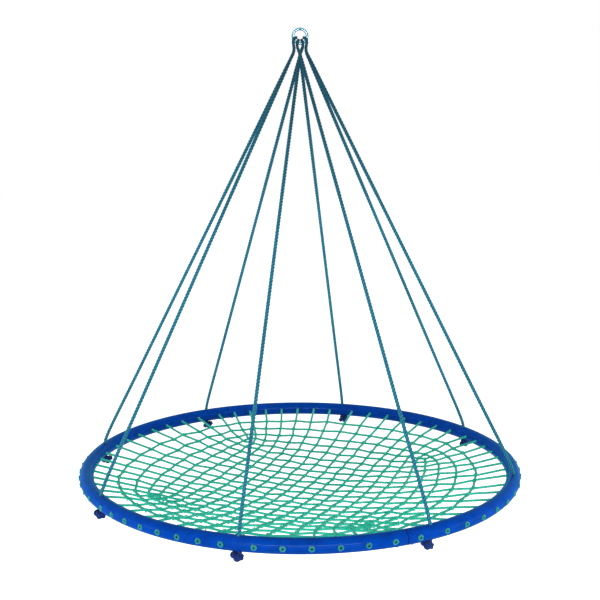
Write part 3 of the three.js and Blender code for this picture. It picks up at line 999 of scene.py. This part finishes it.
def knot_line(turned):
    """An overhand stopper knot: straight down, out to one side, once round the standing part
    above, then under its own turn and up behind it as a short tail."""
    start = np.array([[0, 0, 8], [0.0, 0, 2], [0.2, 0.2, -4], [1.2, 0.6, -11.0]])
    angle = np.radians([-25, 20, 65, 110, 155, 200, 245, 290])
    height = np.array([-13.6, -11.2, -9.0, -7.4, -6.6, -6.6, -7.6, -9.6])
    reach = np.array([6.6, 7.8, 8.2, 8.2, 8.4, 8.6, 8.2, 7.2])
    wrap = np.stack([reach * np.cos(angle) - 3.6, reach * np.sin(angle), height], -1)
    tail = np.array([
        [-2.6, -5.8, -12.8], [-6.0, -1.5, -14.4], [-6.5, 4.0, -13.4], [-4.0, 9.5, -11.0],
    ])
    controls = np.vstack([start, wrap, tail]) * KNOT_SCALE * MM
    cos, sin = math.cos(turned), math.sin(turned)
    turn = np.array([[cos, -sin, 0], [sin, cos, 0], [0, 0, 1]])
    return smooth_line(controls @ turn.T, 1.1 * MM)


def build_stopper_knot(settings, rope, place):
    name, deg = rope[0], rope[2] if place == "front" else rope[3]
    top = FRAME_Z - TUBE_R - 0.5 * MM
    uneven = math.radians(12 * math.sin(deg))
    turned = uneven + (0 if place == "front" else math.pi)
    line = knot_line(turned) + around(deg, FRAME_R, top)
    part = laid_cord(line, settings.diameter * KNOT_FULL, settings.lay, 18, depth=0.8, taper=4)
    # The knots are the rope's own cord; their darker navy colour is painted shade of the tube
    # above them.
    shade = tuple(part * 0.35 for part in settings.knot)
    material = fibre_material(
        "laid_knot_fibre", settings.knot, shade, settings.lay, ROPE_YARNS, 0.3,
        KNOT_FADED, ROPE_FIBRE_DEPTH,
    )
    piece = cord_piece(f"overhand_knot_{name}_{place}", [part], material)
    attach(piece, "basket")
    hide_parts(f"stopper_knot_{name}_{place}")


# ---- net ----
NET_ROWS = 3  # closed rows between the square middle and the tube
CORNER_DEG = 22.0
TAIL_PULL = 0.72
ANCHOR_R = FRAME_R - TUBE_R
CORD_STEP = 1.7 * MM  # length between two outlines of a net cord


def net_knots(settings):
    """Where the net's crossings lie. Every stretch of cord pulls on its two crossings in
    proportion to its length, the outer tails less, and the pulls balance: one linear system
    for x and y, and with the same weight on each crossing one for z."""
    side = settings.block + 1
    middle = np.arange(side * side).reshape(side, side)
    m = settings.block
    rim = np.concatenate([
        middle[m:0:-1, m], middle[0, m:0:-1], middle[0:m, 0], middle[m, 0:m],
    ])
    count = len(rim)
    first = side * side
    rings = [rim] + [first + count * level + np.arange(count) for level in range(NET_ROWS)]
    free = first + count * NET_ROWS
    anchors = free + np.arange(count)
    bars = [
        np.stack([middle[:-1].ravel(), middle[1:].ravel()], -1),
        np.stack([middle[:, :-1].ravel(), middle[:, 1:].ravel()], -1),
    ]
    bars += [np.stack([ring, np.roll(ring, -1)], -1) for ring in rings[1:]]
    chain = rings + [anchors]
    bars += [np.stack([a, b], -1) for a, b in zip(chain, chain[1:])]
    pull = np.concatenate([np.ones(len(bar)) for bar in bars])
    pull[-count:] = TAIL_PULL
    bars = np.vstack(bars)
    total = free + count
    stiff = np.zeros((total, total))
    np.add.at(stiff, (bars[:, 0], bars[:, 0]), pull)
    np.add.at(stiff, (bars[:, 1], bars[:, 1]), pull)
    np.add.at(stiff, (bars[:, 0], bars[:, 1]), -pull)
    np.add.at(stiff, (bars[:, 1], bars[:, 0]), -pull)
    holes = np.sort(net_hole_degs() % 360)
    nearest = np.argmin(np.abs((holes - CORNER_DEG + 180) % 360 - 180))
    holes = np.roll(holes, -nearest)
    fixed = around(holes, ANCHOR_R, 0.0)
    inner = stiff[:free, :free]
    place = np.linalg.solve(inner, -stiff[:free, free:] @ fixed)
    weight = np.linalg.solve(inner, -np.ones(free))
    place[:, 2] = weight * settings.sag / -weight.min()
    shuffle = np.random.default_rng(11)
    place += shuffle.normal(0, 1, place.shape) * np.array([1.5, 1.5, 0.8]) * MM
    points = np.vstack([place, fixed])
    points[:, 2] += FRAME_Z
    return points, middle, rings, holes


def net_normals(points):
    """Up from the dish: a paraboloid's normal at each crossing's distance from the middle."""
    fall = 2 * NET_SAG / ANCHOR_R**2
    return unit(np.stack([-points[:, 0] * fall, -points[:, 1] * fall, np.ones(len(points))], -1))


def net_line(line, closed=False):
    """A net cord's line, in even steps and with its corners rounded."""
    return rounded(even_line(line, CORD_STEP, closed), 2, closed)


def build_net(settings):
    points, middle, rings, holes = net_knots(settings)
    normals = net_normals(points)
    lift = 0.36 * settings.diameter
    side = len(middle)
    outward = {ring_node: index for index, ring_node in enumerate(rings[0])}
    material = fibre_material(
        "net_cord_fibre", settings.light, settings.dark, settings.lay, CORD_YARNS, 0.25,
        CORD_FADED, CORD_FIBRE_DEPTH,
    )

    def lifted(route, heights):
        """The crossings along a route, each moved over or under the other cord there."""
        return points[route] + normals[route] * heights[:, None]

    def tail(start, level_sign):
        """Crossings from the middle's edge outwards, then the way through the tube."""
        index = outward[start]
        route = [ring[index] for ring in rings[1:]]
        heights = [level_sign * lift * (-1) ** level for level in range(len(route))]
        hole = holes[index]
        reaches = (0.5 * MM, 30 * MM)
        through = np.stack([around(hole, ANCHOR_R + reach, FRAME_Z) for reach in reaches])
        return route, heights, through

    def long_cord(nodes, sign):
        """From one side of the tube to the other, over and under every crossing on the way."""
        first_route, first_heights, first_through = tail(nodes[0], -sign)
        last_route, last_heights, last_through = tail(nodes[-1], sign * (-1) ** side)
        route = np.array(first_route[::-1] + list(nodes) + last_route)
        middle_heights = [sign * lift * (-1) ** place for place in range(len(nodes))]
        heights = np.array(first_heights[::-1] + middle_heights + last_heights)
        line = lifted(route, heights)
        return net_line(np.vstack([first_through[::-1], line, last_through]))

    lengthwise = [long_cord(middle[:, i], 1 if i % 2 else -1) for i in range(1, side - 1)]
    crosswise = [long_cord(middle[i, :], -1 if i % 2 else 1) for i in range(1, side - 1)]
    corners = []
    for start in (middle[-1, -1], middle[0, -1], middle[0, 0], middle[-1, 0]):
        route, heights, through = tail(start, 1)
        line = lifted([start] + route, np.array([0] + heights))
        corners.append(net_line(np.vstack([line, through])))
    rows = []
    for level, ring in enumerate(rings):
        heights = lift * (-1.0) ** (np.arange(len(ring)) + level)
        rows.append(net_line(lifted(ring, heights), True))

    def cords(lines, closed=False):
        return [
            laid_cord(
                line, settings.diameter * CORD_FULL, settings.lay, 9, depth=0.8,
                closed=closed, start=1.7 * index,
            )
            for index, line in enumerate(lines)
        ]

    groups = {
        "net_cords_lengthwise": cords(lengthwise),
        "net_cords_crosswise": cords(crosswise),
        "net_rows": cords(rows, True) + cords(corners),
        "net_crossings": crossing_wraps(settings, points, normals, middle, rings),
    }
    for name, parts in groups.items():
        piece = cord_piece(name, parts, material)
        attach(piece, "basket")
        if name == "net_cords_lengthwise":
            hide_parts("net")


def crossing_wraps(settings, points, normals, middle, rings):
    """One short turn of cord round every crossing: a circle squeezed to an oval that stands
    upright across the corner between the two cords."""
    nodes, ahead = [middle[1:-1, 1:-1].ravel()], [middle[2:, 2:].ravel()]
    for level, ring in enumerate(rings):
        nodes.append(ring)
        outer = rings[level + 1] if level + 1 < len(rings) else None
        ahead.append(np.roll(ring if outer is None else outer, -1))
    nodes, ahead = np.concatenate(nodes), np.concatenate(ahead)
    up = normals[nodes]
    toward = points[ahead] - points[nodes]
    toward = unit(toward - (toward * up).sum(1)[:, None] * up)
    across = np.cross(up, toward)
    turns, sides = 12, 6
    along = np.arange(turns) / turns * 2 * math.pi
    width, height = 0.86 * settings.diameter, 0.94 * settings.diameter
    skew = 0.35 * settings.diameter
    middle_line = (
        points[nodes][:, None]
        + across[:, None] * (width * np.cos(along))[None, :, None]
        + up[:, None] * (height * np.sin(along))[None, :, None]
        + toward[:, None] * (skew * np.sin(2 * along))[None, :, None]
    )
    outward = unit(
        across[:, None] * (np.cos(along) * height)[None, :, None]
        + up[:, None] * (np.sin(along) * width)[None, :, None]
    )
    around_cord = np.arange(sides) / sides * 2 * math.pi
    radius = 0.4 * settings.diameter
    rings_points = (
        middle_line[:, :, None]
        + outward[:, :, None] * (radius * np.cos(around_cord))[None, None, :, None]
        + toward[:, None, None] * (radius * np.sin(around_cord))[None, None, :, None]
    )
    one = wrapped_quads(turns, sides, True, True)[:, ::-1]
    quads = (one[None] + (np.arange(len(nodes)) * turns * sides)[:, None, None]).reshape(-1, 4)
    uv = sweep_uv(sides, np.arange(turns + 1) / turns * 2 * math.pi * width)
    uv = np.tile(uv.reshape(-1, 4, 2)[:, ::-1].reshape(-1, 2), (len(nodes), 1))
    return [(rings_points.reshape(-1, 3), quads, NO_TRIANGLES, uv, NO_UV)]


END_LIGHT = (0.02, 0.36, 0.33)
# END_DARK is the painted shade between the strands of the end cords.
END_DARK = (0.0, 0.14, 0.17)
END_FADED = (0.04, 0.42, 0.38)
END_LOOP_R = 5.0 * MM
END_CORD_D = 5.0 * MM
END_TIP_D = 4.4 * MM
END_TIP_DEPTHS = (8, 6, 3, 1.4)  # millimetres below the tube's outer face


def build_end_knots(settings):
    """The cord's ends in their seats: a turn of cord on a circle about each hole's axis, a
    little three-cornered and wavy, and the cut tip sunk in its middle."""
    material = fibre_material(
        "net_end_cord_fibre", END_LIGHT, END_DARK, settings.lay, CORD_YARNS, 0.4,
        END_FADED, CORD_FIBRE_DEPTH,
    )
    parts = []
    turn = np.arange(28) / 28 * 2 * math.pi
    for index, deg in enumerate(net_hole_degs()):
        out = around(deg, 1.0, 0.0)
        across = np.cross([0, 0, 1.0], out)
        phase = turn + index * 1.3
        reach = END_LOOP_R + 0.3 * MM * np.cos(3 * phase)
        middle = around(deg, FRAME_R + TUBE_R - 0.2 * MM, FRAME_Z)
        loop = (
            middle
            + across * (reach * np.cos(turn))[:, None]
            + np.array([0, 0, 1.0]) * (reach * np.sin(turn))[:, None]
            + out * (0.5 * MM * np.sin(2 * phase))[:, None]
        )
        parts.append(laid_cord(loop, END_CORD_D, 13 * MM, 9, depth=0.8, closed=True))
        tip = np.stack([middle - out * depth * MM for depth in END_TIP_DEPTHS])
        tip = even_line(tip, 1.2 * MM)
        parts.append(laid_cord(tip, END_TIP_D, 15 * MM, 9, depth=0.85, taper=2))
    piece = cord_piece("net_end_knots", parts, material)
    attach(piece, "basket")


# ---- stage ----
CAMERA_PLACE = (0.0, -2.9171, -0.2063)
CAMERA_DOWN_DEG = 9.78
CAMERA_LENS = 65.76


SOFT_LAMPS = (
    # name, place, target, width, height, watts
    ("front_fill", (0.0, -4.2, -0.75), (0, 0, -0.75), 4.0, 1.8, 40),
    ("front_low", (0.0, -2.3, -1.55), (0, -0.6, FRAME_Z), 2.6, 0.5, 20),
    ("left_box", (-2.2, -0.3, -1.1), (0, 0, FRAME_Z), 2.0, 0.9, 36),
    ("right_box", (2.2, -0.3, -1.1), (0, 0, FRAME_Z), 2.0, 0.9, 36),
    ("top_box", (0.0, 0.4, 1.6), (0, 0, FRAME_Z), 2.0, 2.0, 13),
    ("back_box", (0.0, 2.6, -0.6), (0, 0, FRAME_Z), 3.0, 0.4, 10),
)
STRIP_LAMP = ("front_strip", (0.0, -3.4, -0.1), (0, -0.5, FRAME_Z), 3.4, 0.12, 30)


def add_area(name, place, target, width, height, watts):
    """A rectangular lamp at that place, its long side level, turned to face the target."""
    light = bpy.data.lights.new(name, "AREA")
    light.shape, light.size, light.size_y = "RECTANGLE", width, height
    light.energy = watts
    lamp = bpy.data.objects.new(name, light)
    bpy.context.scene.collection.objects.link(lamp)
    place, target = np.array(place, float), np.array(target, float)
    ahead = unit(target - place)
    side = unit(np.cross(ahead, [0, 0, 1.0]))
    up = np.cross(side, ahead)
    matrix = np.eye(4)
    matrix[:3, 0], matrix[:3, 1], matrix[:3, 2], matrix[:3, 3] = side, up, -ahead, place
    lamp.matrix_world = Matrix(matrix.tolist())
    lamp.visible_camera = False
    return lamp


def build_stage(settings):
    """A pale floor well below the seat, an even white surround and large soft lights."""
    scene = bpy.context.scene
    level = FRAME_Z - settings.floor_drop
    sides = 64
    angle = np.arange(sides) / sides * 2 * math.pi
    reach = np.array([2.0, 6.0, 20.0])[:, None]
    rows = len(reach)
    points = np.stack([
        reach * np.cos(angle), reach * np.sin(angle), np.full((rows, sides), level)
    ], -1)
    points = np.vstack([points.reshape(-1, 3), [[0, 0, level]]])
    quads = wrapped_quads(rows, sides, False, True)[:, ::-1]
    fan = end_fans(rows, sides)[:sides, ::-1]
    floor = mesh_piece("studio_floor", points, quads, fan)
    floor.data.materials.append(plain_material("studio_floor", (0.9, 0.9, 0.9), 0.9, 1.0))
    floor.visible_glossy = False
    floor.visible_diffuse = False

    world = bpy.data.worlds.new("studio")
    world.use_nodes = True
    world.cycles.sampling_method = "NONE"
    scene.world = world
    nodes = Nodes(world.node_tree)
    background = world.node_tree.nodes["Background"]
    path = nodes.add("ShaderNodeLightPath").outputs
    unseen = nodes.between(path["Is Glossy Ray"], 0.0, 1.0, 0.27 * settings.light, 0.65)
    strength = nodes.between(path["Is Camera Ray"], 0.0, 1.0, unseen, 1.0)
    colour = nodes.mix(path["Is Glossy Ray"], opaque((1.0, 1.0, 1.0)), opaque((0.2, 0.7, 1.0)))
    nodes.feed(background.inputs["Color"], colour)
    nodes.feed(background.inputs["Strength"], strength)

    for *lamp, watts in SOFT_LAMPS:
        add_area(*lamp, watts * settings.light).visible_glossy = False
    *lamp, watts = STRIP_LAMP
    add_area(*lamp, watts * settings.light)

    camera = bpy.data.cameras.new("camera")
    camera.lens, camera.sensor_width = CAMERA_LENS, 36.0
    camera.clip_start, camera.clip_end = 0.05, 100.0
    eye = bpy.data.objects.new("camera", camera)
    scene.collection.objects.link(eye)
    eye.location = CAMERA_PLACE
    eye.rotation_euler = (math.radians(90 - CAMERA_DOWN_DEG), 0, 0)
    scene.camera = eye
    scene.view_settings.view_transform = "Standard"
    scene.view_settings.look = "None"


# ---- operators ----
class NESTSWING_OT_stage(bpy.types.Operator):
    """Make the floor, the lights and the camera"""

    bl_idname = "nestswing.stage"
    bl_label = "Stage"
    bl_options = {"REGISTER", "UNDO"}

    def execute(self, context):
        build_stage(context.scene.nestswing_stage)
        return {"FINISHED"}


class NESTSWING_OT_hanging_ring(bpy.types.Operator):
    """Make the welded steel ring that the swing hangs from"""

    bl_idname = "nestswing.hanging_ring"
    bl_label = "Hanging ring"
    bl_options = {"REGISTER", "UNDO"}

    def execute(self, context):
        build_hanging_ring(context.scene.nestswing_frame)
        return {"FINISHED"}


class NESTSWING_OT_ropes(bpy.types.Operator):
    """Make the four folded ropes"""

    bl_idname = "nestswing.ropes"
    bl_label = "Ropes"
    bl_options = {"REGISTER", "UNDO"}

    def execute(self, context):
        for rope in ROPES:
            build_rope(context.scene.nestswing_rope, rope)
        return {"FINISHED"}


class NESTSWING_OT_stopper_knots(bpy.types.Operator):
    """Make the knots that hold the ropes below the tube"""

    bl_idname = "nestswing.stopper_knots"
    bl_label = "Stopper knots"
    bl_options = {"REGISTER", "UNDO"}

    def execute(self, context):
        for rope in ROPES:
            for place in ("front", "back"):
                build_stopper_knot(context.scene.nestswing_rope, rope, place)
        return {"FINISHED"}


class NESTSWING_OT_frame_halves(bpy.types.Operator):
    """Make the two painted halves of the seat frame"""

    bl_idname = "nestswing.frame_halves"
    bl_label = "Frame halves"
    bl_options = {"REGISTER", "UNDO"}

    def execute(self, context):
        for half, side in enumerate(("right", "left")):
            build_frame_half(context.scene.nestswing_frame, half, side)
        return {"FINISHED"}


class NESTSWING_OT_joint_fittings(bpy.types.Operator):
    """Make the joint screws and finish the sleeves inside the tube"""

    bl_idname = "nestswing.joint_fittings"
    bl_label = "Joint fittings"
    bl_options = {"REGISTER", "UNDO"}

    def execute(self, context):
        settings = context.scene.nestswing_frame
        for index, deg in enumerate(screw_degs()):
            build_screw(settings, index + 1, deg)
        zinc = metal_material("plated_sleeve_steel", settings.zinc, 0.32, 0.5, 300.0)
        for place in ("front", "back"):
            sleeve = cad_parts["joint_sleeve_" + place]
            for slot in sleeve.material_slots:
                slot.material = zinc
        return {"FINISHED"}


class NESTSWING_OT_net(bpy.types.Operator):
    """Make the laced net of twisted cord"""

    bl_idname = "nestswing.net"
    bl_label = "Net"
    bl_options = {"REGISTER", "UNDO"}

    def execute(self, context):
        build_net(context.scene.nestswing_net)
        return {"FINISHED"}


class NESTSWING_OT_end_knots(bpy.types.Operator):
    """Make the sixty cord ends that hold the net in the tube"""

    bl_idname = "nestswing.end_knots"
    bl_label = "Net end knots"
    bl_options = {"REGISTER", "UNDO"}

    def execute(self, context):
        build_end_knots(context.scene.nestswing_net)
        return {"FINISHED"}


OPERATORS = (
    NESTSWING_OT_stage,
    NESTSWING_OT_hanging_ring,
    NESTSWING_OT_ropes,
    NESTSWING_OT_stopper_knots,
    NESTSWING_OT_frame_halves,
    NESTSWING_OT_joint_fittings,
    NESTSWING_OT_net,
    NESTSWING_OT_end_knots,
)


class NESTSWING_PT_panel(bpy.types.Panel):
    """Everything that makes up the swing"""

    bl_label = "Nest Swing"
    bl_idname = "NESTSWING_PT_panel"
    bl_space_type = "VIEW_3D"
    bl_region_type = "UI"
    bl_category = "Nest Swing"

    def draw(self, context):
        for group in SETTINGS:
            settings = getattr(context.scene, group)
            box = self.layout.box()
            for name in settings.__annotations__:
                box.prop(settings, name)
        for operator in OPERATORS:
            self.layout.operator(operator.bl_idname)


SETTINGS = {
    "nestswing_frame": NestSwingFrameSettings,
    "nestswing_rope": NestSwingRopeSettings,
    "nestswing_net": NestSwingNetSettings,
    "nestswing_stage": NestSwingStageSettings,
}


def register():
    for cls in (*SETTINGS.values(), *OPERATORS, NESTSWING_PT_panel):
        bpy.utils.register_class(cls)
    for name, cls in SETTINGS.items():
        setattr(bpy.types.Scene, name, PointerProperty(type=cls))


def unregister():
    for name in SETTINGS:
        delattr(bpy.types.Scene, name)
    for cls in reversed((*SETTINGS.values(), *OPERATORS, NESTSWING_PT_panel)):
        bpy.utils.unregister_class(cls)


def main():
    register()
    bpy.ops.nestswing.stage()
    bpy.ops.nestswing.hanging_ring()
    bpy.ops.nestswing.ropes()
    bpy.ops.nestswing.stopper_knots()
    bpy.ops.nestswing.frame_halves()
    bpy.ops.nestswing.joint_fittings()
    bpy.ops.nestswing.net()
    bpy.ops.nestswing.end_knots()
    bpy.context.view_layer.update()


if __name__ == "__main__":
    main()
